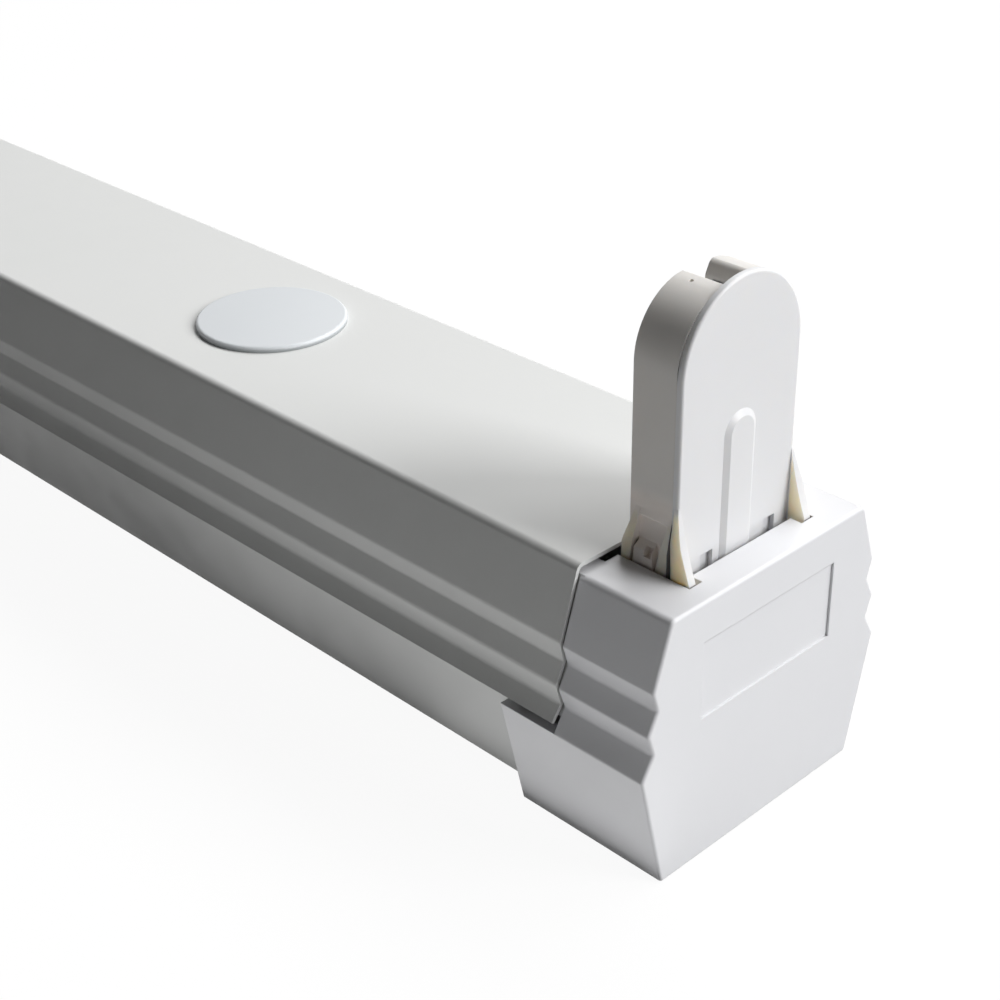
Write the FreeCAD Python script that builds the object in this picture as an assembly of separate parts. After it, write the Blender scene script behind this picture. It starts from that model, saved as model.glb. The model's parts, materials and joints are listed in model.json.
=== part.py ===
import FreeCAD, Part
import math
import os

os.makedirs("parts", exist_ok=True)
Vector = FreeCAD.Vector

# Batten fitting for one 600 mm class tube lamp with two-pin caps.
# X runs along the batten, Y across it and Z away from the ceiling.
# The origin is on the fixing plane under the middle of the fitting.

# Lamp position
lamp_gap = 592.0                # between the lamp-side faces of the two lampholders
lamp_above_cap = 27.9           # lamp axis above the top of the end caps
pin_circle = 12.7               # between the centres of the two lamp pins
pin_diameter = 2.35
pin_turning_gap = 0.65          # rotor slot wider than a pin
pin_guide_gap = 0.85            # funnel's throat wider than a pin

# Sheet steel
sheet = 0.6
bend = 0.7                      # inside bend radius

# Cover, outside: its top, then the side bands in order from the top corner down
cover_height = 45.0
cover_top_half = 21.0
upper_band_spread = 3.45        # outwards
upper_band_drop = 11.0
upper_step_depth = 0.65         # inwards
upper_step_drop = 3.2
middle_band_spread = 1.45
middle_band_drop = 3.4
lower_step_depth = 0.9
lower_step_drop = 3.5
edge_band_spread = 1.8
edge_band_drop = 2.35

# End caps
cap_wall = 1.8
cap_end_wall = 2.0
cap_step = 1.5                  # cap top below the cover top
cap_inset = 0.2                 # cap sides inside the cover sides
cap_groove_extra = 0.3          # moulded grooves are deeper than the folded ones
cap_swage_drop = 0.5            # moulded ridges sit lower than the folded ones
cap_head_length = 16.4
skirt_length = 27.0
skirt_drop = 1.75               # skirt top below the cover's edge
skirt_inset = 0.15
skirt_lean = 4.6                # foot inside the skirt's top
tongue_length = 22.0
tongue_clearance = 0.25
tongue_opening_half = 16.0      # wire opening beside the pocket
cap_corner = 0.6
cap_top_corner = 1.1
cap_front_edge = 0.5
panel_width = 28.5
panel_drop = 6.5                # below the cap's top
panel_height = 12.5
panel_depth = 0.35
seam_gap = 0.35
nib_distance = 12.0             # snap nib's middle behind the end face
nib_size = 6.0
nib_clearance = 0.15
nib_height = 1.4                # above the tray floor
pocket_front_gap = 1.4
fin_slot_width = 2.6
shelf_width = 1.5
shelf_root = 14.0               # depth of the shelf rib at the end wall
shelf_tip = 3.0

# Base tray
base_clearance = 0.2            # tray to end cap
snap_clearance = 0.25           # tray to cover
base_flange = 6.6
base_flange_drop = 0.4          # below the cover's upper groove
base_shoulder_drop = 0.35       # below the cover's edge
base_end_gap = 2.0              # tray end to the cap's end wall
base_notch_drop = 1.2           # ends cut down below the skirt's top to pass into the caps
base_notch_gap = 0.6            # cut ends inside the skirt
fixing_centres = 400.0
fixing_slot_width = 5.5
fixing_slot_length = 12.0

# Lampholders
holder_setback = 7.0            # outer plate behind the cap's end face
holder_thickness = 8.4
holder_half_width = 12.2
holder_crown_drop = 1.1         # body's flat crown below the top of the plate
holder_crown_half = 2.4         # the shoulders' arcs start here
holder_wall = 1.3
holder_foot_depth = 5.5         # body below the cap top
plate_thickness = 1.0
plate_foot_depth = 3.5
plate_edge = 0.4
plate_rib_width = 6.6
plate_rib_height = 20.7         # above the cap top
plate_rib_proud = 0.55
plate_rib_flank = 0.9           # width of the rib's sloping sides
plate_notch_height = 1.1        # above the cap top
plate_notch_depth = 0.75
plate_notch_width = 2.6
plate_notch_left = 6.0
plate_notch_right = 7.5
slot_mouth = 5.2
slot_throat_drop = 1.9          # throat below the body's crown
slot_cheek = 1.2                # radius of the funnel's rounded edges
cheek_wall = 1.0
shoulder_pit = 0.3              # radius of the moulding's gate pit
shoulder_pit_depth = 0.42
shoulder_pit_back = 2.7         # from the lamp side
shoulder_pit_y = 4.5
fin_height = 10.2               # above the cap top
fin_reach = 3.1                 # forward of the plate at the cap top
fin_sag = 0.2                   # hollow of the fin's front edge
fin_proud = 0.9
fin_taper_height = 5.0          # thinned away over this height
fin_root = 0.4                  # fin sunk into the plate's side
fin_groove_top = 0.3            # between the plate's fin and the body's rib
fin_groove_foot = 0.8           # the same at the cap top
rib_drop = 2.0                  # body's ribs end below the fin's top
front_rib_top = 0.3
front_rib_foot = 2.0
back_rib_place = 1.9            # its top corner, forward of the lamp side
back_rib_top = 0.8              # thickness at its top
back_rib_foot = 1.6             # thickness at the cap top
back_rib_reach = 0.7            # behind the lamp side
back_rib_flare = 2.2            # the slope ends this far above the cap top
arm_height = 7.1                # above the cap top
arm_recess = 0.4
barb_height = 3.3               # above the cap top
barb_width = 3.6
barb_slope = 1.0                # height of its upper slope
barb_taper = 0.3                # narrower at its top, each side
barb_window_drop = 0.5
barb_window_width = 1.3
barb_window_height = 1.4
hook_depth = 0.4                # under the cap's top, past the pocket's edge
hook_gap = 0.2
pocket_clearance = 0.3

# Lamp lock rotors
rotor_rim = 0.175               # rotor beyond the pins
rotor_window_gap = 0.15
rotor_flange = 0.9
rotor_flange_thickness = 0.8
rotor_floor = 0.55
rotor_recess = 0.2
rotor_end_play = 0.15
hub_radius = 2.5
hub_length = 0.95
hub_running_gap = 0.05
bearing_boss = 0.8              # height inside the plate
bearing_wall = 1.0

# Contact springs
spring_thickness = 0.4
spring_width = 3.6
spring_bend = 0.8
spring_gap = 0.25               # spring to rotor rim
spring_foot_height = 2.5        # above the cap top
spring_side_gap = 0.3           # spring to the outer plate
spring_knee_drop = 9.5          # lower bend below the lamp axis
spring_touch_low = 3.2          # straight stretch beside the rotor, below the lamp axis
spring_touch_high = 2.1         # and above it
spring_lead_height = 4.2        # end of the turned-out tip above the lamp axis
spring_lead = 0.8               # how far the tip turns out

# Blanking plug in the cover
plug_distance = 109.5           # from the end face to the plug's centre
plug_off_middle = 0.6
plug_hole_radius = 11.5
plug_radius = 13.0
plug_brim = 0.45                # straight part of the flange's edge
plug_edge = 0.55                # rounded part of the flange's edge
plug_dome = 0.35
plug_wall = 1.1
plug_leg_length = 5.0
plug_bead = 0.5
plug_slot = 3.2
plug_gap = 0.2                  # legs to the hole, bead to the sheet

# Supply terminals
block_x = 25.0
block_y = -5.0
pole_pitch = 9.0
pole_count = 3
block_depth = 14.0
block_height = 11.5
block_margin = 1.2
pole_wall = 1.4
clamp_size = 5.2
clamp_bore_radius = 1.6
clamp_height = 4.6              # clamp axis above the tray floor
clamp_screw_radius = 1.5
clamp_screw_head = 1.9
clamp_screw_offset = 3.4        # each side of the pole's middle
block_foot = 3.0
block_foot_drop = 1.1
well_clearance = 0.2            # screw wells and wire entries
pole_groove = 0.8

# Earth point
earth_lead = 4.6                # terminal block to the tag's barrel
earth_screw_radius = 2.0
earth_head_radius = 3.4
earth_head_height = 2.4
earth_screw_tip = 1.2           # below the tray
screw_slot_share = 1 / 3        # slot depth in the head's height
collar_wall = 0.8
collar_height = 1.2
washer_thickness = 0.6
tag_thickness = 0.8
tag_radius = 3.6
tag_barrel_length = 3.0
tag_barrel_wall = 0.5

# Cable entry
entry_x = -20.0
entry_radius = 8.6
entry_wire_gap = 1.0            # grommet to the passing wire
grommet_bore_radius = 6.0
grommet_flange = 1.9
grommet_lower = 1.2
grommet_upper = 1.5
grommet_lip = 0.6

# Inner wires
wire_radius = 1.1
wire_wall_gap = 0.4             # to the lampholder's side wall
wire_bend = 12.0
wire_exit_bend = 6.0
wire_drop_bend = 24.0
wire_drop_run = 24.0            # along X, before the drop and for it
earth_wire_bend = 3.3
wire_top = 11.5                 # wire end above the cap top
fitting_gap = 0.05              # between pieces that touch

# Derived places
end_x = lamp_gap / 2 + holder_thickness + holder_setback
cap_top = cover_height - cap_step
lamp_axis = cap_top + lamp_above_cap
body_top = lamp_axis + holder_half_width - holder_crown_drop
rotor_radius = (pin_circle + pin_diameter) / 2 + rotor_rim
plate_outer_x = end_x - holder_setback
plate_inner_x = plate_outer_x - plate_thickness
lamp_side_x = plate_outer_x - holder_thickness
holder_foot = cap_top - holder_foot_depth
base_bottom = cap_wall + base_clearance
base_floor = base_bottom + sheet
base_half_length = end_x - cap_end_wall - base_end_gap
cover_half_length = end_x - cap_head_length - seam_gap
plug_x = end_x - plug_distance
wire_y = holder_half_width - holder_wall - wire_wall_gap - wire_radius
entry_y = wire_y - wire_radius - entry_wire_gap - grommet_flange - entry_radius
earth_y = block_y + block_depth / 2 + earth_lead + tag_barrel_length + tag_radius
overlap = 0.5                   # how far cutting and joining shapes run past a face


def block(x_low, x_high, y_low, y_high, z_low, z_high):
    """A box between two corners."""
    size = Vector(x_high - x_low, y_high - y_low, z_high - z_low)
    return Part.makeBox(size.x, size.y, size.z, Vector(x_low, y_low, z_low))


def rod(radius, start, end):
    """A round bar from one point to another."""
    start = Vector(*start)
    run = Vector(*end) - start
    return Part.makeCylinder(radius, run.Length, start, run)


def shifted(points, distance, closed):
    """A path of (y, z) corners moved to its left, corner by corner."""
    count = len(points)
    spans = count if closed else count - 1
    lines = []
    for i in range(spans):
        y, z = points[i]
        next_y, next_z = points[(i + 1) % count]
        run = math.hypot(next_y - y, next_z - z)
        dy = (next_y - y) / run
        dz = (next_z - z) / run
        lines.append((y - dz * distance, z + dy * distance, dy, dz, run))
    moved = []
    for i in range(count):
        y, z, dy, dz, run = lines[i % spans]
        if not closed and i == 0:
            moved.append((y, z))
            continue
        last_y, last_z, last_dy, last_dz, last_run = lines[i - 1]
        if not closed and i == count - 1:
            moved.append((last_y + last_dy * last_run, last_z + last_dz * last_run))
            continue
        turn = last_dy * dz - last_dz * dy
        along = ((y - last_y) * dz - (z - last_z) * dy) / turn
        moved.append((last_y + last_dy * along, last_z + last_dz * along))
    return moved


def turns_left(points, i):
    """Whether a path turns left at a corner."""
    y, z = points[i]
    before_y, before_z = points[i - 1]
    after_y, after_z = points[(i + 1) % len(points)]
    return (y - before_y) * (after_z - z) > (z - before_z) * (after_y - y)


def rounded_edges(points, radii, closed):
    """Lines and tangent arcs along a path of (y, z) corners."""
    corners = []
    count = len(points)
    for i in range(count):
        corner = Vector(0, *points[i])
        at_end = not closed and i in (0, count - 1)
        if at_end or radii[i] == 0:
            corners.append((corner, None, corner))
            continue
        back = (Vector(0, *points[i - 1]) - corner).normalize()
        ahead = (Vector(0, *points[(i + 1) % count]) - corner).normalize()
        half_angle = back.getAngle(ahead) / 2
        cut = radii[i] / math.tan(half_angle)
        bisector = (back + ahead).normalize()
        reach = radii[i] / math.sin(half_angle) - radii[i]
        corners.append((corner + back * cut, corner + bisector * reach, corner + ahead * cut))
    edges = []
    for i in range(count):
        start, middle, end = corners[i]
        if middle is not None:
            edges.append(Part.Arc(start, middle, end).toShape())
        if closed or i < count - 1:
            next_start = corners[(i + 1) % count][0]
            edges.append(Part.LineSegment(end, next_start).toShape())
    return edges


def prism(edges, x_low, x_high):
    """A closed outline in the Y-Z plane, extruded along X."""
    face = Part.Face(Part.Wire(edges))
    face.translate(Vector(x_low, 0, 0))
    return face.extrude(Vector(x_high - x_low, 0, 0))


def moulding(points, radii, x_low, x_high):
    """A closed outline with rounded corners, extruded along X."""
    return prism(rounded_edges(points, radii, True), x_low, x_high)


def plain_prism(points, x_low, x_high):
    """A closed outline with sharp corners, extruded along X."""
    return moulding(points, [0] * len(points), x_low, x_high)


def folded(points, thickness, inside_bend, x_low, x_high):
    """A folded strip: a path of outer corners, thickened to its left."""
    inner = shifted(points, thickness, False)
    outer_radii = []
    inner_radii = []
    for i in range(len(points)):
        grow = thickness if turns_left(points, i) else 0
        outer_radii.append(inside_bend + grow)
        inner_radii.append(inside_bend + thickness - grow)
    edges = rounded_edges(points, outer_radii, False)
    edges.append(Part.LineSegment(Vector(0, *points[-1]), Vector(0, *inner[-1])).toShape())
    edges += rounded_edges(inner[::-1], inner_radii[::-1], False)
    edges.append(Part.LineSegment(Vector(0, *inner[0]), Vector(0, *points[0])).toShape())
    return prism(edges, x_low, x_high)


def side_prism(points, y_low, y_high):
    """A closed outline of (x, z) corners, extruded along Y."""
    corners = [Vector(x, y_low, z) for x, z in points]
    face = Part.Face(Part.makePolygon(corners + corners[:1]))
    return face.extrude(Vector(0, y_high - y_low, 0))


def both_sides(half_path):
    """A path from the lower right up and over to the lower left."""
    return half_path + [(-y, z) for y, z in reversed(half_path)]


def turned(profile, centre_x, centre_y):
    """A closed outline of (radius, z) corners turned about a vertical axis."""
    corners = [Vector(centre_x + radius, centre_y, z) for radius, z in profile]
    face = Part.Face(Part.makePolygon(corners + corners[:1]))
    return face.revolve(Vector(centre_x, centre_y, 0), Vector(0, 0, 1), 360)


def turned_along_x(profile, centre_y, centre_z):
    """A closed outline of (x, radius) corners turned about an axis along X."""
    corners = [Vector(x, centre_y, centre_z + radius) for x, radius in profile]
    face = Part.Face(Part.makePolygon(corners + corners[:1]))
    return face.revolve(Vector(0, centre_y, centre_z), Vector(1, 0, 0), 360)


def far_end(shape):
    """The same piece at the other end of the batten."""
    return shape.rotated(Vector(0, 0, 0), Vector(0, 0, 1), 180)


def other_side(shape):
    """The same shape mirrored to the other side of the middle plane."""
    return shape.mirror(Vector(0, 0, 0), Vector(0, 1, 0))


def save(shape, node):
    """Write one node."""
    shape.exportStep("parts/" + node + ".step")


def cover_half():
    """The cover's outer corners, from its lower edge up to the top."""
    bands = [
        (upper_band_spread, upper_band_drop),
        (-upper_step_depth, upper_step_drop),
        (middle_band_spread, middle_band_drop),
        (-lower_step_depth, lower_step_drop),
        (edge_band_spread, edge_band_drop),
    ]
    y = cover_top_half
    z = cover_height
    corners = [(y, z)]
    for spread, drop in bands:
        y += spread
        z -= drop
        corners.append((y, z))
    return corners[::-1]


def cap_half():
    """The end cap's outer corners, from its foot up to the top."""
    edge, *bands, top = cover_half()
    skirt_half = edge[0] - skirt_inset
    corners = [(skirt_half - skirt_lean, 0), (skirt_half, edge[1] - skirt_drop)]
    groove = cap_inset + cap_groove_extra
    for inset, (y, z) in zip((groove, cap_inset, groove, cap_inset), bands):
        corners.append((y - inset, z - cap_swage_drop))
    corners.append((top[0] - cap_inset / 2, cap_top))
    return corners


def fixing_slot(x):
    """A slot through the tray's floor, long along X."""
    straight = fixing_slot_length - fixing_slot_width
    radius = fixing_slot_width / 2
    low = base_bottom - overlap
    high = base_floor + overlap
    slot = block(x - straight / 2, x + straight / 2, -radius, radius, low, high)
    for end in (-1, 1):
        place = x + end * straight / 2
        slot = slot.fuse(rod(radius, (place, 0, low), (place, 0, high)))
    return slot


def floor_hole(x, y, size):
    """A square hole through the tray's floor."""
    half = size / 2
    return block(x - half, x + half, y - half, y + half, base_bottom - overlap, base_floor + overlap)


def skirt_flank(depth):
    """The line of the skirt's flank, moved inwards: its foot and its top."""
    return shifted(cap_half()[:2], depth, False)


def half_width_at(line, height):
    """Where a sloping line crosses a height."""
    (low_y, low_z), (high_y, high_z) = line
    return low_y + (high_y - low_y) * (height - low_z) / (high_z - low_z)


def base_tray():
    """Roll-formed channel with snap ridges, returned lips and notched ends."""
    flank = skirt_flank(cap_wall + base_clearance)
    inside = shifted(cover_half(), sheet + snap_clearance, False)
    groove, ridge = inside[1:3]
    lip_y = inside[3][0]
    edge_half, edge_height = cover_half()[0]
    shoulder_height = edge_height - base_shoulder_drop
    flange_height = cover_half()[3][1] - base_flange_drop
    half = [
        (half_width_at(flank, base_bottom), base_bottom),
        (half_width_at(flank, shoulder_height), shoulder_height),
        groove,
        ridge,
        (lip_y, flange_height),
        (lip_y - base_flange, flange_height),
    ]
    path = [(-y, z) for y, z in reversed(half)] + half
    tray = folded(path, sheet, bend, -base_half_length, base_half_length)

    notch_x = end_x - skirt_length + base_notch_gap
    notch_height = cap_half()[1][1] - base_notch_drop
    for end in (-1, 1):
        x_low, x_high = sorted((end * notch_x, end * end_x))
        tray = tray.cut(block(x_low, x_high, -edge_half, edge_half, notch_height, cover_height))
        tray = tray.cut(fixing_slot(end * fixing_centres / 2))
        nib_x = end * (end_x - nib_distance)
        tray = tray.cut(floor_hole(nib_x, 0, nib_size + 2 * nib_clearance))
    for x in block_foot_places():
        tray = tray.cut(floor_hole(x, block_y, block_foot + 2 * nib_clearance))
    low = base_bottom - overlap
    high = base_floor + overlap
    tray = tray.cut(rod(entry_radius, (entry_x, entry_y, low), (entry_x, entry_y, high)))
    collar_radius = earth_screw_radius + collar_wall
    collar = rod(collar_radius, (block_x, earth_y, base_floor - sheet / 2),
                 (block_x, earth_y, base_floor + collar_height))
    thread = rod(earth_screw_radius, (block_x, earth_y, low),
                 (block_x, earth_y, base_floor + collar_height + overlap))
    return tray.fuse(collar).cut(thread)


def block_foot_places():
    """Where the terminal block's snap feet sit along X: under its outer poles."""
    return pole_places()[::pole_count - 1]


def cover():
    """Roll-formed cover with swaged sides and a round lamp starter hole."""
    path = both_sides(cover_half())
    channel = folded(path, sheet, bend, -cover_half_length, cover_half_length)
    hole = rod(plug_hole_radius, (plug_x, plug_off_middle, cover_height - 2 * sheet),
               (plug_x, plug_off_middle, cover_height + overlap))
    return channel.cut(hole)


def plug():
    """Snap-in blanking plug: a low domed flange over a slotted ring with a bead."""
    leg_outer = plug_hole_radius - plug_gap
    leg_inner = leg_outer - plug_wall
    foot = cover_height - plug_leg_length
    bead_top = cover_height - sheet - plug_gap
    brim_top = cover_height + plug_brim + plug_edge
    flat = plug_radius - plug_edge

    def at(radius, z):
        return Vector(plug_x + radius, plug_off_middle, z)

    corners = [
        at(flat, brim_top),
        at(0, brim_top + plug_dome),
        at(0, cover_height),
        at(leg_inner, cover_height),
        at(leg_inner, foot),
        at(leg_outer, foot),
        at(leg_outer + plug_bead, bead_top - plug_bead),
        at(leg_outer, bead_top),
        at(leg_outer, cover_height),
        at(plug_radius, cover_height),
        at(plug_radius, cover_height + plug_brim),
    ]
    edges = [Part.LineSegment(a, b).toShape() for a, b in zip(corners[1:], corners[2:])]
    slope = plug_edge * math.sqrt(0.5)
    brim_middle = at(flat + slope, brim_top - plug_edge + slope)
    edges.append(Part.Arc(corners[-1], brim_middle, corners[0]).toShape())
    sphere = (flat ** 2 + plug_dome ** 2) / (2 * plug_dome)
    drop = sphere - math.sqrt(sphere ** 2 - flat ** 2 / 4)
    dome_middle = at(flat / 2, brim_top + plug_dome - drop)
    edges.append(Part.Arc(corners[0], dome_middle, corners[1]).toShape())
    centre = at(0, 0)
    axis = Vector(0, 0, 1)
    body = Part.Face(Part.Wire(Part.sortEdges(edges)[0])).revolve(centre, axis, 360)
    half = plug_slot / 2
    gap = block(plug_x - plug_radius, plug_x + plug_radius, plug_off_middle - half,
                plug_off_middle + half, foot - overlap, bead_top)
    for angle in (0, 90):
        body = body.cut(gap.rotated(centre, axis, angle))
    return body


def pocket_half():
    """Half the width of the pocket that takes the lampholder's foot."""
    return holder_half_width + fin_proud + pocket_clearance


def pocket(x_inner):
    """The openings in the cap's top for the lampholder's foot and the wires behind it."""
    low = cap_top - cap_wall - overlap
    high = cap_top + overlap
    half = pocket_half()
    opening = block(x_inner, plate_outer_x + pocket_front_gap, -half, half, low, high)
    throat = block(x_inner, end_x - cap_head_length, -tongue_opening_half, tongue_opening_half,
                   low, high)
    slot = block(x_inner, plate_outer_x + fin_reach + pocket_clearance, half - fin_slot_width, half,
                 low, high)
    return opening.fuse([throat, slot, other_side(slot)])


def shelf():
    """A rib inside the cap that the lampholder's foot stands on."""
    top = holder_foot
    outer = holder_half_width
    wall_x = end_x - cap_end_wall / 2
    rib = side_prism([(wall_x, top), (lamp_side_x, top), (lamp_side_x, top - shelf_tip),
                      (wall_x, top - shelf_root)], outer - shelf_width, outer)
    return rib


def end_cap():
    """Moulded cap: swaged head, deeper skirt round the tray and a tongue under the cover."""
    half = cap_half()
    outline = both_sides(half)
    radii = [cap_top_corner if z == cap_top else cap_corner for y, z in outline]
    inner = shifted(outline, cap_wall, True)
    inner_radii = [cap_corner / 2] * len(outline)
    head_x = end_x - cap_head_length
    skirt_x = end_x - skirt_length
    tongue_x = end_x - tongue_length
    hollow_x = end_x - cap_end_wall

    head = moulding(outline, radii, head_x, end_x)
    front_edges = [edge for edge in head.Edges if edge.BoundBox.XMin > end_x - overlap / 2]
    head = head.makeFillet(cap_front_edge, front_edges)

    foot, top = half[:2]
    skirt_outline = [top, (-top[0], top[1]), (-foot[0], foot[1]), foot]
    skirt = moulding(skirt_outline, [0, 0, cap_corner, cap_corner], skirt_x, head_x + overlap)

    tongue_path = shifted(both_sides(cover_half()), sheet + tongue_clearance, False)
    tongue = plain_prism(tongue_path, tongue_x, head_x + overlap)
    edge_half, edge_height = cover_half()[0]
    above = block(tongue_x, end_x, -edge_half, edge_half, cap_top, 2 * cover_height)
    below = block(tongue_x, end_x, -edge_half, edge_half, 0, edge_height + sheet)
    tongue = tongue.cut(above).cut(below)

    hollow = moulding(inner, inner_radii, tongue_x - overlap, hollow_x)
    skirt_height = top[1]
    flank = skirt_flank(cap_wall)
    trough = plain_prism(both_sides([(half_width_at(flank, cap_wall), cap_wall),
                                     (half_width_at(flank, skirt_height), skirt_height + overlap)]),
                         skirt_x - overlap, tongue_x)
    cap = head.fuse([skirt, tongue]).cut(hollow).cut(trough)
    cap = cap.cut(pocket(tongue_x - overlap))
    cap = cap.fuse([shelf(), other_side(shelf())])

    panel_top = cap_top - panel_drop
    panel = block(end_x - panel_depth, end_x + overlap, -panel_width / 2, panel_width / 2,
                  panel_top - panel_height, panel_top)
    cap = cap.cut(panel)
    nib_low = cap_wall - overlap
    nib_top = base_floor + nib_height
    nib_x = end_x - nib_distance
    half_nib = nib_size / 2
    nib = side_prism([(nib_x - half_nib, nib_low), (nib_x + half_nib, nib_low),
                      (nib_x + half_nib, nib_top), (nib_x, nib_top),
                      (nib_x - half_nib, base_bottom)], -half_nib, half_nib)
    return cap.fuse(nib).removeSplitter()


def arch_outline(half_width, foot, centre_z, x):
    """Straight sides and a half-round top, in a plane across X."""
    corners = [Vector(x, -half_width, centre_z), Vector(x, -half_width, foot),
               Vector(x, half_width, foot), Vector(x, half_width, centre_z)]
    edges = [Part.LineSegment(a, b).toShape() for a, b in zip(corners, corners[1:])]
    crown = Vector(x, 0, centre_z + half_width)
    edges.append(Part.Arc(corners[3], crown, corners[0]).toShape())
    return Part.Wire(edges)


def body_block(inset, foot, x_high):
    """The lampholder body's upright block with rounded shoulders, moved inwards."""
    half = holder_half_width - inset
    top = body_top - inset
    corner = half - holder_crown_half
    outline = [(half, foot), (half, top), (-half, top), (-half, foot)]
    return moulding(outline, [0, corner, corner, 0], lamp_side_x + inset, x_high)


def lamp_slot():
    """The funnel that guides the lamp's pins down to the rotor."""
    throat = (pin_diameter + pin_guide_gap) / 2
    mouth = slot_mouth / 2
    outline = both_sides([(throat, lamp_axis), (throat, body_top - slot_throat_drop),
                          (mouth, body_top), (mouth + 2 * slot_cheek, body_top),
                          (mouth + 2 * slot_cheek, body_top + overlap)])
    radii = [0, slot_cheek, slot_cheek, 0, 0, 0, 0, slot_cheek, slot_cheek, 0]
    return moulding(outline, radii, lamp_side_x - overlap, plate_inner_x + overlap)


def foot_low():
    """Underside of the ribs and fins, just below the cap's top wall."""
    return cap_top - cap_wall - hook_gap


def fin_taper(root_y, top):
    """A wedge that thins the ribs or the fins away towards their tops."""
    low = foot_low() - overlap
    proud_y = holder_half_width + fin_proud
    return plain_prism([(root_y, low), (proud_y, low), (proud_y, top - fin_taper_height),
                        (holder_half_width, top), (root_y, top)],
                       lamp_side_x - 2 * fin_reach, plate_outer_x + 2 * fin_reach)


def plate_fin():
    """Flared fin on one side edge of the outer plate's foot, with a hollow front edge."""
    root_y = holder_half_width - fin_root
    inner_x = plate_inner_x + fin_groove_foot
    reach_x = plate_outer_x + fin_reach
    fin_top = cap_top + fin_height
    corners = [
        Vector(reach_x, root_y, cap_top),
        Vector(reach_x, root_y, foot_low()),
        Vector(inner_x, root_y, foot_low()),
        Vector(inner_x, root_y, cap_top),
        Vector(plate_inner_x + fin_groove_top, root_y, fin_top),
        Vector(plate_outer_x, root_y, fin_top),
    ]
    edges = [Part.LineSegment(a, b).toShape() for a, b in zip(corners, corners[1:])]
    tip = corners[0]
    top = corners[-1]
    hollow = Vector(tip.z - top.z, 0, top.x - tip.x).normalize() * fin_sag
    edges.append(Part.Arc(top, (top + tip) / 2 + hollow, tip).toShape())
    fin = Part.Face(Part.Wire(edges)).extrude(Vector(0, fin_root + fin_proud, 0))
    return fin.common(fin_taper(root_y, fin_top))


def foot_side():
    """Ribs, snap barb and hook on one narrow side of the lampholder's foot."""
    root_y = holder_half_width - fin_root
    proud_y = holder_half_width + fin_proud
    low = foot_low()
    rib_top = cap_top + fin_height - rib_drop
    front_foot_x = plate_inner_x - front_rib_foot
    front = side_prism([(plate_inner_x, rib_top), (plate_inner_x - front_rib_top, rib_top),
                        (front_foot_x, cap_top), (front_foot_x, low), (plate_inner_x, low)],
                       root_y, proud_y)
    back_x = lamp_side_x + back_rib_place
    flare_x = lamp_side_x - back_rib_reach
    back_foot_x = flare_x + back_rib_foot
    back = side_prism([(back_x, rib_top), (back_x - back_rib_top, rib_top),
                       (flare_x, cap_top + back_rib_flare), (flare_x, low), (back_foot_x, low),
                       (back_foot_x, cap_top)], root_y, proud_y)
    ribs = front.fuse(back).common(fin_taper(root_y, rib_top))

    middle_x = (back_foot_x + front_foot_x) / 2
    half = barb_width / 2
    barb_top = cap_top + barb_height
    face_y = holder_half_width - arm_recess
    pocket_edge = pocket_half()
    wedge = plain_prism([(root_y - overlap, holder_foot), (face_y, holder_foot),
                         (pocket_edge + hook_depth, low - hook_gap), (pocket_edge + hook_depth, low),
                         (proud_y, low), (proud_y, barb_top - barb_slope), (face_y, barb_top),
                         (root_y - overlap, barb_top)], middle_x - half, middle_x + half)
    sides = side_prism([(middle_x - half, holder_foot), (middle_x + half, holder_foot),
                        (middle_x + half, cap_top), (middle_x + half - barb_taper, barb_top),
                        (middle_x - half + barb_taper, barb_top), (middle_x - half, cap_top)],
                       root_y - overlap, pocket_edge + fin_proud)
    window_x = middle_x + half - barb_taper
    window_top = barb_top - barb_window_drop
    window = block(window_x - barb_window_width, window_x, face_y, proud_y,
                   window_top - barb_window_height, window_top)
    return ribs.fuse(wedge.common(sides).cut(window))


def foot_recess():
    """The sunk panel round the snap barb on one narrow side, with a sloping upper edge."""
    face_y = holder_half_width - arm_recess
    proud_y = holder_half_width + fin_proud
    top = cap_top + arm_height
    return plain_prism([(face_y, foot_low()), (proud_y, foot_low()), (proud_y, top),
                        (holder_half_width, top), (face_y, top - arm_recess)],
                       lamp_side_x + back_rib_place - back_rib_top, plate_inner_x - front_rib_top)


def holder_body():
    """Lampholder moulding: shouldered lamp side, pin funnel, rotor window and snap foot."""
    body = body_block(0, holder_foot, plate_inner_x)
    chamber = body_block(holder_wall, holder_foot - overlap, plate_inner_x + overlap)
    body = body.cut(chamber)
    body = body.cut(foot_recess()).cut(other_side(foot_recess()))
    cheek_z = lamp_axis + rotor_radius + rotor_flange + hook_gap
    cheek_y = (pin_diameter + pin_guide_gap) / 2 + cheek_wall
    cheeks = block(lamp_side_x, plate_inner_x, -cheek_y, cheek_y, cheek_z, body_top - holder_wall / 2)
    body = body.fuse(cheeks).cut(lamp_slot())
    window = rod(rotor_radius + rotor_window_gap, (lamp_side_x - overlap, 0, lamp_axis),
                 (lamp_side_x + holder_wall + overlap, 0, lamp_axis))
    body = body.cut(window)
    for side in (foot_side(), other_side(foot_side())):
        body = body.fuse(side)
    pit_x = lamp_side_x + shoulder_pit_back
    pit_top = body_top + overlap
    pit = rod(shoulder_pit, (pit_x, -shoulder_pit_y, body_top - shoulder_pit_depth),
              (pit_x, -shoulder_pit_y, pit_top))
    return body.cut(pit).removeSplitter()


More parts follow.
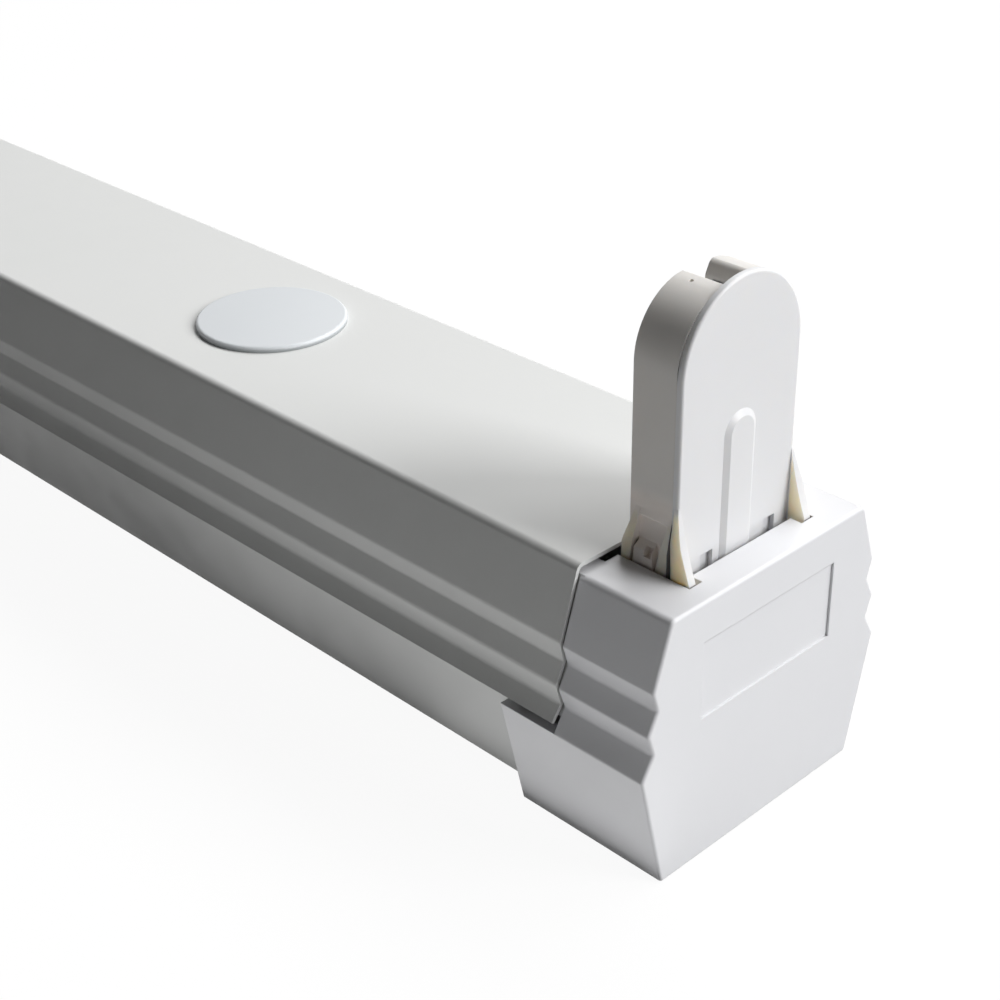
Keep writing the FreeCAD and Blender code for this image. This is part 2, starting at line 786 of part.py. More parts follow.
def holder_plate():
    """Outer plate of the lampholder, with a stiffening rib and the rotor's bearing."""
    foot = cap_top - plate_foot_depth
    outline = arch_outline(holder_half_width, foot, lamp_axis, plate_inner_x)
    plate = Part.Face(outline).extrude(Vector(plate_thickness, 0, 0))
    rounded = []
    for edge in plate.Edges:
        box = edge.BoundBox
        on_face = box.XMin > plate_outer_x - overlap / 2
        if on_face and box.ZMax > foot + overlap:
            rounded.append(edge)
    plate = plate.makeFillet(plate_edge, rounded)
    half_rib = plate_rib_width / 2
    rib_centre = cap_top + plate_rib_height - half_rib
    rib_root = arch_outline(half_rib, foot, rib_centre, plate_outer_x)
    rib_face = arch_outline(half_rib - plate_rib_flank, foot, rib_centre,
                            plate_outer_x + plate_rib_proud)
    rib = Part.makeLoft([rib_root, rib_face], True, True)
    boss_x = plate_inner_x - bearing_boss
    boss = rod(hub_radius + hub_running_gap + bearing_wall, (boss_x, 0, lamp_axis),
               (plate_outer_x - plate_thickness / 2, 0, lamp_axis))
    plate = plate.fuse([rib, boss, plate_fin(), other_side(plate_fin())])
    for middle in (-plate_notch_left, plate_notch_right):
        half = plate_notch_width / 2
        notch = block(plate_outer_x - plate_notch_depth, plate_outer_x + overlap, middle - half,
                      middle + half, foot - overlap, cap_top + plate_notch_height)
        plate = plate.cut(notch)
    bearing = rod(hub_radius + hub_running_gap, (boss_x - overlap, 0, lamp_axis),
                  (boss_x + hub_length, 0, lamp_axis))
    return plate.cut(bearing).removeSplitter()


def lock_rotor():
    """Turning lock: slotted disc with a retaining flange and a bearing hub."""
    front = lamp_side_x + rotor_recess
    flange_x = lamp_side_x + holder_wall + rotor_end_play
    back = plate_inner_x - bearing_boss - rotor_end_play
    flange_radius = rotor_radius + rotor_flange
    profile = [
        (front, 0),
        (front, rotor_radius),
        (flange_x, rotor_radius),
        (flange_x, flange_radius),
        (flange_x + rotor_flange_thickness, flange_radius),
        (flange_x + rotor_flange_thickness, rotor_radius),
        (back, rotor_radius),
        (back, hub_radius),
        (back + hub_length, hub_radius),
        (back + hub_length, 0),
    ]
    rotor = turned_along_x(profile, 0, lamp_axis)
    half = (pin_diameter + pin_turning_gap) / 2
    reach = flange_radius + overlap
    slot = block(front - overlap, back - rotor_floor, -half, half, lamp_axis - reach, lamp_axis + reach)
    return rotor.cut(slot)


def contact_springs():
    """Two bent springs that bear on the lamp's pins once the rotor is turned."""
    x_high = plate_inner_x - spring_side_gap
    x_low = x_high - spring_width
    outer = holder_half_width - holder_wall - fitting_gap
    touch = rotor_radius + spring_gap + spring_thickness
    foot = cap_top + spring_foot_height
    path = [
        (outer, foot),
        (outer, lamp_axis - spring_knee_drop),
        (touch, lamp_axis - spring_touch_low),
        (touch, lamp_axis + spring_touch_high),
        (touch + spring_lead, lamp_axis + spring_lead_height),
    ]
    spring = folded(path, spring_thickness, spring_bend, x_low, x_high)
    return Part.makeCompound([spring, other_side(spring)])


def pole_places():
    """Where the terminal block's poles sit along X."""
    middle = (pole_count - 1) / 2
    return [block_x + (i - middle) * pole_pitch for i in range(pole_count)]


def terminal_block():
    """Three-pole block: stepped body with wire entries, screw wells and snap feet."""
    half_length = (pole_count * pole_pitch) / 2 + block_margin
    y_low = block_y - block_depth / 2
    y_high = block_y + block_depth / 2
    top = base_floor + block_height
    body = block(block_x - half_length, block_x + half_length, y_low, y_high, base_floor, top)
    half = clamp_size / 2
    axis_z = base_floor + clamp_height
    for x in pole_places():
        seat = block(x - half, x + half, y_low + pole_wall, y_high - pole_wall, axis_z - half,
                     axis_z + half)
        entry = rod(clamp_bore_radius + well_clearance, (x, y_low - overlap, axis_z),
                    (x, y_high + overlap, axis_z))
        body = body.cut(seat).cut(entry)
        for side in (-1, 1):
            y = block_y + side * clamp_screw_offset
            well = rod(clamp_screw_head + well_clearance, (x, y, axis_z), (x, y, top + overlap))
            body = body.cut(well)
    for left, right in zip(pole_places(), pole_places()[1:]):
        middle = (left + right) / 2
        groove = block(middle - pole_groove / 2, middle + pole_groove / 2, y_low - overlap,
                       y_high + overlap, axis_z + half, top + overlap)
        body = body.cut(groove)
    for x in block_foot_places():
        size = block_foot / 2
        foot = block(x - size, x + size, block_y - size, block_y + size, base_bottom - block_foot_drop,
                     base_floor + overlap)
        body = body.fuse(foot)
    return body.removeSplitter()


def terminal_clamps():
    """Brass inserts with a wire bore and two tapped holes each."""
    half = clamp_size / 2 - fitting_gap
    axis_z = base_floor + clamp_height
    y_low = block_y - block_depth / 2 + pole_wall + fitting_gap
    y_high = block_y + block_depth / 2 - pole_wall - fitting_gap
    clamps = []
    for x in pole_places():
        clamp = block(x - half, x + half, y_low, y_high, axis_z - half, axis_z + half)
        clamp = clamp.cut(rod(clamp_bore_radius, (x, y_low - overlap, axis_z),
                              (x, y_high + overlap, axis_z)))
        for side in (-1, 1):
            y = block_y + side * clamp_screw_offset
            clamp = clamp.cut(rod(clamp_screw_radius, (x, y, axis_z), (x, y, axis_z + clamp_size)))
        clamps.append(clamp)
    return Part.makeCompound(clamps)


def slotted_screw(radius, head_radius, head_height, x, y, tip_z, seat_z):
    """A cheese-head screw with a straight slot, pointing down."""
    shank = rod(radius, (x, y, tip_z), (x, y, seat_z + overlap))
    head = rod(head_radius, (x, y, seat_z), (x, y, seat_z + head_height))
    top = seat_z + head_height
    half_slot = screw_slot_share * head_height / 4
    slot = block(x - head_radius - overlap, x + head_radius + overlap, y - half_slot, y + half_slot,
                 top - screw_slot_share * head_height, top + overlap)
    return shank.fuse(head).cut(slot).removeSplitter()


def terminal_screws():
    """Two wire screws to each pole."""
    axis_z = base_floor + clamp_height
    screws = []
    for x in pole_places():
        for side in (-1, 1):
            y = block_y + side * clamp_screw_offset
            tip = axis_z + wire_radius + fitting_gap
            seat = axis_z + clamp_size / 2 + clamp_screw_radius
            screws.append(slotted_screw(clamp_screw_radius - fitting_gap, clamp_screw_head,
                                        clamp_screw_head, x, y, tip, seat))
    return Part.makeCompound(screws)


def earth_washer():
    """Plain washer between the tray's collar and the earth tag."""
    low = base_floor + collar_height
    inner = earth_screw_radius + fitting_gap
    outer = earth_head_radius
    return turned([(inner, low), (outer, low), (outer, low + washer_thickness),
                   (inner, low + washer_thickness)], block_x, earth_y)


def tag_base():
    """Height of the earth tag's underside."""
    return base_floor + collar_height + washer_thickness


def earth_tag():
    """Ring tag with a crimped barrel that points at the terminal block."""
    low = tag_base()
    inner = earth_screw_radius + fitting_gap
    ring = turned([(inner, low), (tag_radius, low), (tag_radius, low + tag_thickness),
                   (inner, low + tag_thickness)], block_x, earth_y)
    barrel_end = earth_y - tag_radius
    barrel_start = barrel_end - tag_barrel_length
    outer = wire_radius + fitting_gap + tag_barrel_wall
    axis_z = low + outer
    neck = block(block_x - outer, block_x + outer, barrel_start, earth_y - inner - overlap, low,
                 low + tag_thickness)
    barrel = rod(outer, (block_x, barrel_start, axis_z), (block_x, barrel_end, axis_z))
    tag = ring.fuse([neck, barrel])
    bore = rod(wire_radius + fitting_gap, (block_x, barrel_start - overlap, axis_z),
               (block_x, barrel_end + overlap, axis_z))
    return tag.cut(bore).removeSplitter()


def earth_screw():
    """Screw into the tray's extruded collar."""
    return slotted_screw(earth_screw_radius - fitting_gap, earth_head_radius, earth_head_height,
                         block_x, earth_y, base_bottom - earth_screw_tip, tag_base() + tag_thickness)


def cable_grommet():
    """Rubber bush in the cable entry: two flanges with a groove that grips the tray."""
    groove = entry_radius - fitting_gap
    flange = entry_radius + grommet_flange
    low = base_bottom - grommet_lower
    high = base_floor + grommet_upper
    profile = [
        (grommet_bore_radius, low),
        (flange, low),
        (flange, base_bottom - fitting_gap),
        (groove, base_bottom - fitting_gap),
        (groove, base_floor + fitting_gap),
        (flange, base_floor + fitting_gap),
        (flange - grommet_lip, high),
        (grommet_bore_radius + grommet_lip, high),
        (grommet_bore_radius, high - grommet_lip),
    ]
    return turned(profile, entry_x, entry_y)


def wire(points, radii):
    """A round wire along straight runs joined by tangent arcs."""
    corners = [Vector(*point) for point in points]
    edges = []
    start = corners[0]
    for before, corner, after, radius in zip(corners, corners[1:], corners[2:], radii):
        back = (before - corner).normalize()
        ahead = (after - corner).normalize()
        half_angle = back.getAngle(ahead) / 2
        cut = radius / math.tan(half_angle)
        reach = radius / math.sin(half_angle) - radius
        bisector = (back + ahead).normalize()
        edges.append(Part.LineSegment(start, corner + back * cut).toShape())
        start = corner + ahead * cut
        edges.append(Part.Arc(corner + back * cut, corner + bisector * reach, start).toShape())
    edges.append(Part.LineSegment(start, corners[-1]).toShape())
    path = Part.Wire(edges)
    section = Part.Wire(Part.makeCircle(wire_radius, corners[0], corners[1] - corners[0]))
    return path.makePipeShell([section], True, True)


def lamp_wire(side):
    """From an outer pole of the terminal block along the tray to one lampholder."""
    pole_x = block_x + side * pole_pitch
    clamp_z = base_floor + clamp_height
    lay_z = base_floor + wire_radius + fitting_gap
    inside_y = block_y + block_depth / 2 - pole_wall - clamp_size / 2
    drop_x = pole_x + side * wire_drop_run
    drop_end_x = drop_x + side * wire_drop_run
    rise_x = side * (lamp_side_x + holder_wall + wire_wall_gap + wire_radius)
    points = [(pole_x, inside_y, clamp_z), (pole_x, wire_y, clamp_z), (drop_x, wire_y, clamp_z),
              (drop_end_x, wire_y, lay_z), (rise_x, wire_y, lay_z), (rise_x, wire_y, cap_top + wire_top)]
    return wire(points, [wire_exit_bend, wire_drop_bend, wire_drop_bend, wire_bend])


def earth_wire():
    """Short wire from the middle pole down to the earth tag."""
    clamp_z = base_floor + clamp_height
    barrel_z = tag_base() + wire_radius + fitting_gap + tag_barrel_wall
    face_y = block_y + block_depth / 2
    inside_y = face_y - pole_wall - clamp_size / 2
    barrel_end = earth_y - tag_radius
    barrel_start = barrel_end - tag_barrel_length
    points = [(block_x, inside_y, clamp_z), (block_x, face_y, clamp_z),
              (block_x, barrel_start - wire_radius, barrel_z), (block_x, barrel_end, barrel_z)]
    return wire(points, [earth_wire_bend, earth_wire_bend])


def build():
    """Write every node."""
    save(base_tray(), "base_tray")
    save(cover(), "cover")
    save(plug(), "blanking_plug")
    paired = {
        "end_cap": end_cap(),
        "holder_body": holder_body(),
        "holder_plate": holder_plate(),
        "lock_rotor": lock_rotor(),
        "contact_springs": contact_springs(),
    }
    for name, shape in paired.items():
        save(shape, name + "_1")
        save(far_end(shape), name + "_2")
    save(terminal_block(), "terminal_block")
    save(terminal_clamps(), "terminal_clamps")
    save(terminal_screws(), "terminal_screws")
    save(earth_screw(), "earth_screw")
    save(earth_washer(), "earth_washer")
    save(earth_tag(), "earth_tag")
    save(cable_grommet(), "cable_grommet")
    save(lamp_wire(1), "live_wire")
    save(lamp_wire(-1), "neutral_wire")
    save(earth_wire(), "earth_wire")


build()
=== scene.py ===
import json
import math

import bpy
from mathutils import Matrix, Vector


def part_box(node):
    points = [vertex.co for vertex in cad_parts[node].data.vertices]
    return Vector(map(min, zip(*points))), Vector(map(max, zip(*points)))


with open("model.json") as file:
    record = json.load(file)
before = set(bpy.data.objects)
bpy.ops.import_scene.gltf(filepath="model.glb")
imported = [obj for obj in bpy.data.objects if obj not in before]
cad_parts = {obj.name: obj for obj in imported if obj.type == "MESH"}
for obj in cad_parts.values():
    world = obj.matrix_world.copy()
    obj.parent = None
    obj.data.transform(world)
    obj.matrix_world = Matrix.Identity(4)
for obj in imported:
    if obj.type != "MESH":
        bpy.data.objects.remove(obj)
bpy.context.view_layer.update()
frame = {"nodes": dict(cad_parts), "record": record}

# Camera, solved from the photograph: bearing, height and lean in degrees, place in metres
CAMERA_AZIMUTH = 45.916
CAMERA_ELEVATION = 29.585
CAMERA_ROLL = -0.940
CAMERA_LENS = 67.385            # with the sensor's width, in millimetres
CAMERA_SENSOR = 36.0
CAMERA_BEYOND_END = 0.12975
CAMERA_Y = -0.17725
CAMERA_Z = 0.17669
CAMERA_NEAR = 0.01
CAMERA_FAR = 50

# Room
FLOOR_HALF = 20.0
FLOOR_COLOUR = (0.34, 0.34, 0.34)
FLOOR_SHARE = 0.22              # of the lit floor in what the camera sees
FLOOR_GLOW = 1.2
FILL = 0.010                    # world light on the object

# Lamps: name, place, point that they face, size, watts, whether the camera sees them.
# The last three lie on the floor, for the light that a studio's table throws back.
LAMPS = (
    ("back_lamp", (0.2, 0.97, 1.28), (0.1, 0, 0), (1.8, 0.6), 20.5, True),
    ("front_lamp", (1.6, 0.7, 0.9), (0.3, 0, 0.05), (0.8, 0.8), 25, True),
    ("bounce_lamp_1", (0.36, -0.12, 0.001), (0.36, -0.12, 1.0), (0.30, 0.18), 0.058, False),
    ("skirt_lamp", (0.31, -0.032, 0.001), (0.31, -0.032, 1.0), (0.09, 0.016), 0.002, False),
    ("bounce_lamp_2", (-0.33, -0.12, 0.001), (-0.33, -0.12, 1.0), (0.30, 0.18), 0.066, False),
)

# Places on the lampholders, in metres from the batten's middle
END_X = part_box("end_cap_1")[1].x
CAP_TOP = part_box("cover")[1].z - 0.0015
HOLDER_HALF = 0.0122            # half width above the ribs
RIB_TOP = CAP_TOP + 0.0102
BARB_BACK = END_X - 0.0139      # the snap barb's two sides
BARB_FRONT = END_X - 0.0099
PLATE_BACK = END_X - 0.0080
PLATE_FRONT = END_X - 0.0070

# Where a painted light or shade on the lampholders starts and where it is full, measured the
# same way
RIBS_PROUD = (HOLDER_HALF + 0.00003, HOLDER_HALF + 0.0003)
FINS_FORWARD = (PLATE_FRONT + 0.0001, PLATE_FRONT + 0.0003)
FINS_OUTSIDE = (HOLDER_HALF - 0.0006, HOLDER_HALF - 0.0005)
BARB_STARTS = (BARB_BACK, BARB_BACK + 0.0002)
BARB_ENDS = (BARB_FRONT - 0.0002, BARB_FRONT)
RIBS_END = (RIB_TOP, RIB_TOP + 0.002)
FOOT_ENDS = (RIB_TOP - 0.001, RIB_TOP + 0.002)
SEAM_STARTS = (PLATE_BACK - 0.0002, PLATE_BACK - 0.0001)
ACROSS = (0.8, 0.97)            # of a face's normal along the batten

# Painted light and shade on the lampholders: glow where light comes through thin plastic, shade
# at the plate's seam and in gaps
PAINTED_CREAM_GLOW = (0.88, 0.81, 0.68)
PAINTED_FOOT_GLOW = (0.92, 0.85, 0.79)
PAINTED_SEAM_SHADE = (0.24, 0.23, 0.22)
PLATE_PAINTED_SHADE = (0.10, 0.06, 0.03)
BODY_PAINTED_SHADE = (0.16, 0.10, 0.06)

# Mouldings: softness of their edges, and how light spreads inside them
EDGE = 0.00025
THIN_EDGE = 0.00008             # the lampholders'
GLOW_RADIUS = (1.0, 0.8, 0.6)
GLOW_SCALE = 0.0025
GLOW = (0.1, 0.9)               # subsurface weight, plain and where ribs are thin


def camera_axes(azimuth, elevation, roll):
    """The camera's right, up and backward directions."""
    a, e, r = (math.radians(value) for value in (azimuth, elevation, roll))
    back = Vector((math.sin(a) * math.cos(e), -math.cos(a) * math.cos(e), math.sin(e)))
    right = (-back).cross(Vector((0, 0, 1))).normalized()
    up = right.cross(-back)
    turned_right = math.cos(r) * right + math.sin(r) * up
    turned_up = -math.sin(r) * right + math.cos(r) * up
    return turned_right, turned_up, back


def add_camera():
    """The photograph's viewpoint."""
    data = bpy.data.cameras.new("camera")
    data.lens = CAMERA_LENS
    data.sensor_width = CAMERA_SENSOR
    data.sensor_fit = "HORIZONTAL"
    data.clip_start = CAMERA_NEAR
    data.clip_end = CAMERA_FAR
    camera = bpy.data.objects.new("camera", data)
    right, up, back = camera_axes(CAMERA_AZIMUTH, CAMERA_ELEVATION, CAMERA_ROLL)
    turn = Matrix((right, up, back)).transposed().to_4x4()
    place = Vector((END_X + CAMERA_BEYOND_END, CAMERA_Y, CAMERA_Z))
    camera.matrix_world = Matrix.Translation(place) @ turn
    bpy.context.scene.collection.objects.link(camera)
    bpy.context.scene.camera = camera


def add_softbox(name, place, target, size, power, seen):
    """A rectangular studio lamp that faces a point."""
    data = bpy.data.lights.new(name, "AREA")
    data.shape = "RECTANGLE"
    data.size, data.size_y = size
    data.energy = power
    lamp = bpy.data.objects.new(name, data)
    lamp.location = place
    direction = Vector(target) - Vector(place)
    lamp.rotation_euler = direction.to_track_quat("-Z", "Y").to_euler()
    lamp.visible_camera = seen
    bpy.context.scene.collection.objects.link(lamp)


def background_rays(tree):
    """1 for camera, mirror and glass rays, else 0."""
    path = tree.nodes.new("ShaderNodeLightPath")
    total = path.outputs["Is Camera Ray"]
    for name in ("Is Glossy Ray", "Is Transmission Ray"):
        larger = tree.nodes.new("ShaderNodeMath")
        larger.operation = "MAXIMUM"
        tree.links.new(total, larger.inputs[0])
        tree.links.new(path.outputs[name], larger.inputs[1])
        total = larger.outputs[0]
    return total


def add_world():
    """White for the camera and for reflections, dim for everything else."""
    world = bpy.data.worlds.new("studio")
    bpy.context.scene.world = world
    world.use_nodes = True
    tree = world.node_tree
    background = tree.nodes["Background"]
    background.inputs["Color"].default_value = (1, 1, 1, 1)
    strength = tree.nodes.new("ShaderNodeMapRange")
    strength.inputs["To Min"].default_value = FILL
    strength.inputs["To Max"].default_value = 1.0
    tree.links.new(background_rays(tree), strength.inputs["Value"])
    tree.links.new(strength.outputs["Result"], background.inputs["Strength"])


def add_floor():
    """Pale floor that looks white to the camera and keeps the object's shadow."""
    half = FLOOR_HALF
    mesh = bpy.data.meshes.new("floor")
    corners = [(-half, -half, 0), (half, -half, 0), (half, half, 0), (-half, half, 0)]
    mesh.from_pydata(corners, [], [(0, 1, 2, 3)])
    floor = bpy.data.objects.new("floor", mesh)
    bpy.context.scene.collection.objects.link(floor)
    material = bpy.data.materials.new("floor")
    material.use_nodes = True
    tree = material.node_tree
    tree.nodes.clear()
    output = tree.nodes.new("ShaderNodeOutputMaterial")
    lit = tree.nodes.new("ShaderNodeBsdfDiffuse")
    lit.inputs["Color"].default_value = (*FLOOR_COLOUR, 1)
    white = tree.nodes.new("ShaderNodeEmission")
    white.inputs["Strength"].default_value = FLOOR_GLOW
    mix = tree.nodes.new("ShaderNodeMixShader")
    share = tree.nodes.new("ShaderNodeMapRange")
    share.inputs["To Min"].default_value = 0.0
    share.inputs["To Max"].default_value = 1 - FLOOR_SHARE
    tree.links.new(background_rays(tree), share.inputs["Value"])
    tree.links.new(share.outputs["Result"], mix.inputs["Fac"])
    tree.links.new(lit.outputs["BSDF"], mix.inputs[1])
    tree.links.new(white.outputs["Emission"], mix.inputs[2])
    tree.links.new(mix.outputs["Shader"], output.inputs["Surface"])
    mesh.materials.append(material)


def new_finish(name):
    """An empty finish: its material, node tree and surface shader."""
    material = bpy.data.materials.new(name)
    material.use_nodes = True
    tree = material.node_tree
    return material, tree, tree.nodes["Principled BSDF"]


def noise(tree, scale, detail=3.0, stretch=(1, 1, 1)):
    """Noise in the piece's own space, with its grain stretched along an axis."""
    place = tree.nodes.new("ShaderNodeTexCoord")
    mapping = tree.nodes.new("ShaderNodeMapping")
    mapping.inputs["Scale"].default_value = stretch
    texture = tree.nodes.new("ShaderNodeTexNoise")
    texture.inputs["Scale"].default_value = scale
    texture.inputs["Detail"].default_value = detail
    tree.links.new(place.outputs["Object"], mapping.inputs["Vector"])
    tree.links.new(mapping.outputs["Vector"], texture.inputs["Vector"])
    return texture.outputs["Fac"]


def spread(tree, value, low=0.0, high=1.0):
    """A noise value, most of which is from 0.3 to 0.7, stretched over a range."""
    limits = tree.nodes.new("ShaderNodeMapRange")
    limits.inputs["From Min"].default_value = 0.3
    limits.inputs["From Max"].default_value = 0.7
    limits.inputs["To Min"].default_value = low
    limits.inputs["To Max"].default_value = high
    tree.links.new(value, limits.inputs["Value"])
    return limits.outputs["Result"]


def blend(tree, share, first, second):
    """A colour between two, each a colour or a socket that gives one."""
    mix = tree.nodes.new("ShaderNodeMix")
    mix.data_type = "RGBA"
    tree.links.new(share, mix.inputs["Factor"])
    for name, colour in (("A", first), ("B", second)):
        socket = next(entry for entry in mix.inputs
                      if entry.name == name and entry.type == "RGBA")
        if isinstance(colour, tuple):
            socket.default_value = (*colour, 1)
        else:
            tree.links.new(colour, socket)
    return next(entry for entry in mix.outputs if entry.type == "RGBA")


def lay_over(material, share, colour):
    """A colour over the finish's own, where a share is 1."""
    tree = material.node_tree
    base = tree.nodes["Principled BSDF"].inputs["Base Color"]
    plain = base.links[0].from_socket
    tree.links.new(blend(tree, share, plain, colour), base)
    return material


def add_bump(tree, shader, height, strength, distance, edge=0.0):
    """Fine relief, over softened edges where a width for them is given."""
    bump = tree.nodes.new("ShaderNodeBump")
    bump.inputs["Strength"].default_value = strength
    bump.inputs["Distance"].default_value = distance
    tree.links.new(height, bump.inputs["Height"])
    if edge:
        soft = tree.nodes.new("ShaderNodeBevel")
        soft.samples = 6
        soft.inputs["Radius"].default_value = edge
        tree.links.new(soft.outputs["Normal"], bump.inputs["Normal"])
    tree.links.new(bump.outputs["Normal"], shader.inputs["Normal"])


def size_between(tree, vector, axis, low, high):
    """0 where a vector's part along an axis is small and 1 where it is large, either way."""
    parts = tree.nodes.new("ShaderNodeSeparateXYZ")
    size = tree.nodes.new("ShaderNodeMath")
    size.operation = "ABSOLUTE"
    limits = tree.nodes.new("ShaderNodeMapRange")
    limits.interpolation_type = "SMOOTHSTEP"
    limits.inputs["From Min"].default_value = low
    limits.inputs["From Max"].default_value = high
    tree.links.new(vector, parts.inputs["Vector"])
    tree.links.new(parts.outputs[axis], size.inputs[0])
    tree.links.new(size.outputs[0], limits.inputs["Value"])
    return limits.outputs["Result"]


def between(tree, axis, low, high):
    """0 near the batten's middle and 1 further out along an axis, past two places."""
    place = tree.nodes.new("ShaderNodeTexCoord")
    return size_between(tree, place.outputs["Object"], axis, low, high)


def facing_ends(tree):
    """1 on faces across the batten, 0 on its sides."""
    geometry = tree.nodes.new("ShaderNodeNewGeometry")
    return size_between(tree, geometry.outputs["True Normal"], "X", *ACROSS)


def combined(tree, operation, first, second):
    """Two shares put together, kept from 0 to 1."""
    result = tree.nodes.new("ShaderNodeMath")
    result.operation = operation
    result.use_clamp = True
    tree.links.new(first, result.inputs[0])
    tree.links.new(second, result.inputs[1])
    return result.outputs[0]


def painted_steel():
    """Satin powder coat with a faint orange peel."""
    material, tree, shader = new_finish("painted_steel_finish")
    cloud = spread(tree, noise(tree, scale=9))
    colour = blend(tree, cloud, (0.765, 0.775, 0.763), (0.785, 0.792, 0.782))
    tree.links.new(colour, shader.inputs["Base Color"])
    rough = spread(tree, noise(tree, scale=160), 0.40, 0.50)
    tree.links.new(rough, shader.inputs["Roughness"])
    shader.inputs["Specular IOR Level"].default_value = 0.3
    add_bump(tree, shader, noise(tree, scale=900, detail=2), strength=0.05, distance=0.0002)
    return material


def moulded(name, first, second, roughness, edge=EDGE):
    """Satin moulding with a fine surface and soft edges."""
    material, tree, shader = new_finish(name)
    cloud = spread(tree, noise(tree, scale=30))
    tree.links.new(blend(tree, cloud, first, second), shader.inputs["Base Color"])
    rough = spread(tree, noise(tree, scale=250), roughness - 0.04, roughness + 0.05)
    tree.links.new(rough, shader.inputs["Roughness"])
    fine = noise(tree, scale=1600, detail=2)
    add_bump(tree, shader, fine, strength=0.04, distance=0.0001, edge=edge)
    shader.inputs["Subsurface Radius"].default_value = GLOW_RADIUS
    shader.inputs["Subsurface Scale"].default_value = GLOW_SCALE
    return material


def metal(name, first, second, roughness, grain=(1, 1, 1)):
    """Drawn or turned metal with a fine grain."""
    material, tree, shader = new_finish(name)
    lines = noise(tree, scale=700, detail=4, stretch=grain)
    tree.links.new(blend(tree, spread(tree, lines), first, second), shader.inputs["Base Color"])
    rough = spread(tree, lines, roughness - 0.06, roughness + 0.08)
    tree.links.new(rough, shader.inputs["Roughness"])
    shader.inputs["Metallic"].default_value = 1.0
    add_bump(tree, shader, lines, strength=0.08, distance=0.00005)
    return material


def insulation(name, first, second):
    """Glossy wire covering."""
    material, tree, shader = new_finish(name)
    cloud = spread(tree, noise(tree, scale=120))
    tree.links.new(blend(tree, cloud, first, second), shader.inputs["Base Color"])
    rough = spread(tree, noise(tree, scale=300), 0.32, 0.42)
    tree.links.new(rough, shader.inputs["Roughness"])
    add_bump(tree, shader, noise(tree, scale=1200, detail=2), strength=0.03, distance=0.0001)
    return material


def striped_insulation():
    """Green wire covering with a yellow side along it."""
    green = insulation("green_insulation_finish", (0.030, 0.220, 0.045), (0.036, 0.245, 0.052))
    low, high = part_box("earth_wire")
    middle = (low.x + high.x) / 2
    stripe = between(green.node_tree, "X", middle - 0.00010, middle + 0.00005)
    return lay_over(green, stripe, (0.80, 0.66, 0.06))


def painted_foot_glow(material):
    """Painted glow: lighter and warmer colour round the snap barb, where some light comes
    through.
    """
    tree = material.node_tree
    base = tree.nodes["Principled BSDF"].inputs["Base Color"]
    above = between(tree, "Z", *FOOT_ENDS)
    tree.links.new(blend(tree, above, PAINTED_FOOT_GLOW, base.links[0].from_socket), base)
    return material


def painted_rib_glow(material):
    """Painted glow: cream where thin ribs and fins let light through, with a stronger subsurface
    weight there, but not on the snap barb.
    """
    tree = material.node_tree
    proud = between(tree, "Y", *RIBS_PROUD)
    fins = combined(tree, "MULTIPLY", between(tree, "X", *FINS_FORWARD),
                    between(tree, "Y", *FINS_OUTSIDE))
    share = combined(tree, "MAXIMUM", proud, fins)
    barb = combined(tree, "SUBTRACT", between(tree, "X", *BARB_STARTS),
                    between(tree, "X", *BARB_ENDS))
    above = between(tree, "Z", *RIBS_END)
    for left_out in (above, barb, facing_ends(tree)):
        share = combined(tree, "SUBTRACT", share, left_out)
    glow = tree.nodes.new("ShaderNodeMapRange")
    glow.inputs["To Min"].default_value = GLOW[0]
    glow.inputs["To Max"].default_value = GLOW[1]
    tree.links.new(share, glow.inputs["Value"])
    weight = tree.nodes["Principled BSDF"].inputs["Subsurface Weight"]
    tree.links.new(glow.outputs["Result"], weight)
    return lay_over(material, share, PAINTED_CREAM_GLOW)


def painted_seam_shade(material):
    """Painted shade: greyer on the body's faces across the batten, where the lampholder's plate
    is welded to it.
    """
    tree = material.node_tree
    seam = combined(tree, "MULTIPLY", facing_ends(tree), between(tree, "X", *SEAM_STARTS))
    return lay_over(material, seam, PAINTED_SEAM_SHADE)


def painted_crevice_shade(material, colour, reach, dark, clear):
    """Painted shade: a darker colour where little light gets in, between two shares of open sky.
    """
    tree = material.node_tree
    sky = tree.nodes.new("ShaderNodeAmbientOcclusion")
    sky.samples = 8
    sky.inputs["Distance"].default_value = reach
    shade = tree.nodes.new("ShaderNodeMapRange")
    shade.inputs["From Min"].default_value = dark
    shade.inputs["From Max"].default_value = clear
    shade.inputs["To Min"].default_value = 1.0
    shade.inputs["To Max"].default_value = 0.0
    tree.links.new(sky.outputs["AO"], shade.inputs["Value"])
    return lay_over(material, shade.outputs["Result"], colour)


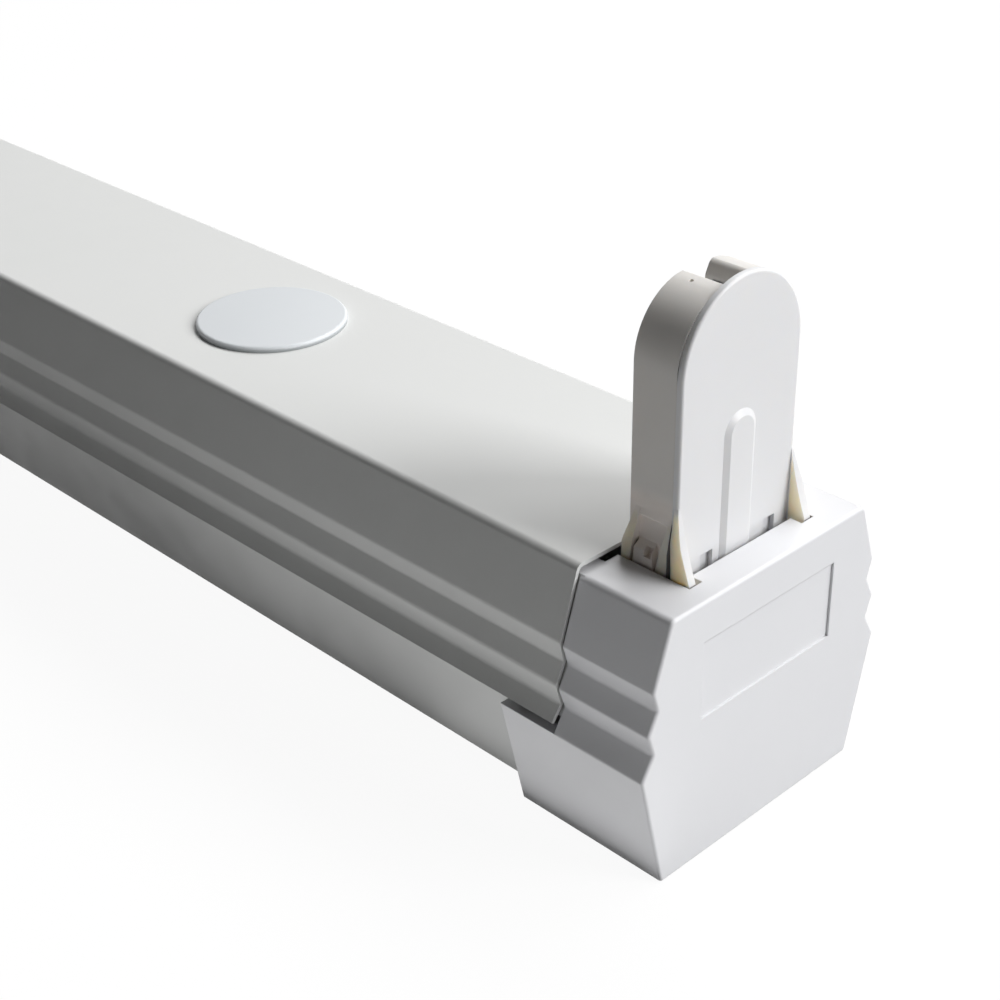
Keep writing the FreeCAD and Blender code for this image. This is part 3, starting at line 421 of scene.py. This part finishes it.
def dress():
    """Give every node its own finish, or else its slot's."""
    cap = moulded("white_plastic_finish", (0.785, 0.790, 0.812), (0.803, 0.807, 0.827), 0.40)
    plug = moulded("plug_finish", (0.705, 0.735, 0.760), (0.725, 0.752, 0.775), 0.42)
    body = moulded("ivory_plastic_finish", (0.760, 0.735, 0.700), (0.780, 0.755, 0.720), 0.42,
                   THIN_EDGE)
    plate = moulded("holder_plastic_finish", (0.785, 0.785, 0.795), (0.800, 0.800, 0.810),
                    0.40, THIN_EDGE)
    # painted glow round the foot and on the thin ribs, and painted shade where the plate meets
    # the body
    body = painted_seam_shade(painted_rib_glow(painted_foot_glow(body)))
    finishes = {
        "painted_steel": painted_steel(),
        # painted shade in the crevices of the end caps, the plug's rim and the lampholders; the
        # plate also gets painted cream glow on its fins
        "white_plastic": painted_crevice_shade(cap, (0.30, 0.28, 0.27), reach=0.0012, dark=0.15, clear=0.55),
        "blanking_plug": painted_crevice_shade(plug, (0.28, 0.30, 0.31), reach=0.0025, dark=0.45, clear=0.85),
        "ivory_plastic": painted_crevice_shade(body, BODY_PAINTED_SHADE, reach=0.0010, dark=0.05, clear=0.28),
        "holder_plastic": painted_crevice_shade(painted_rib_glow(plate), PLATE_PAINTED_SHADE, reach=0.0012, dark=0.10,
                                   clear=0.40),
        "spring_bronze": metal("spring_bronze_finish", (0.62, 0.38, 0.19), (0.70, 0.45, 0.25),
                               0.30, grain=(1, 1, 0.1)),
        "natural_nylon": moulded("natural_nylon_finish", (0.740, 0.715, 0.620),
                                 (0.765, 0.740, 0.650), 0.45),
        "brass": metal("brass_finish", (0.70, 0.52, 0.24), (0.77, 0.60, 0.31), 0.30),
        "zinc_steel": metal("zinc_steel_finish", (0.62, 0.63, 0.65), (0.72, 0.73, 0.74), 0.33),
        "grey_rubber": moulded("grey_rubber_finish", (0.250, 0.255, 0.260),
                               (0.285, 0.290, 0.295), 0.75),
        "brown_insulation": insulation("brown_insulation_finish", (0.055, 0.018, 0.008),
                                       (0.068, 0.024, 0.011)),
        "blue_insulation": insulation("blue_insulation_finish", (0.008, 0.060, 0.290),
                                      (0.012, 0.075, 0.330)),
        "green_insulation": striped_insulation(),
    }
    for part in frame["record"]["subparts"]:
        node = frame["nodes"][part["node"]]
        node.data.materials.clear()
        node.data.materials.append(finishes.get(part["node"], finishes[part["material_slot"]]))


add_camera()
add_world()
add_floor()
for lamp_settings in LAMPS:
    add_softbox(*lamp_settings)
dress()
bpy.context.scene.view_settings.view_transform = "Standard"
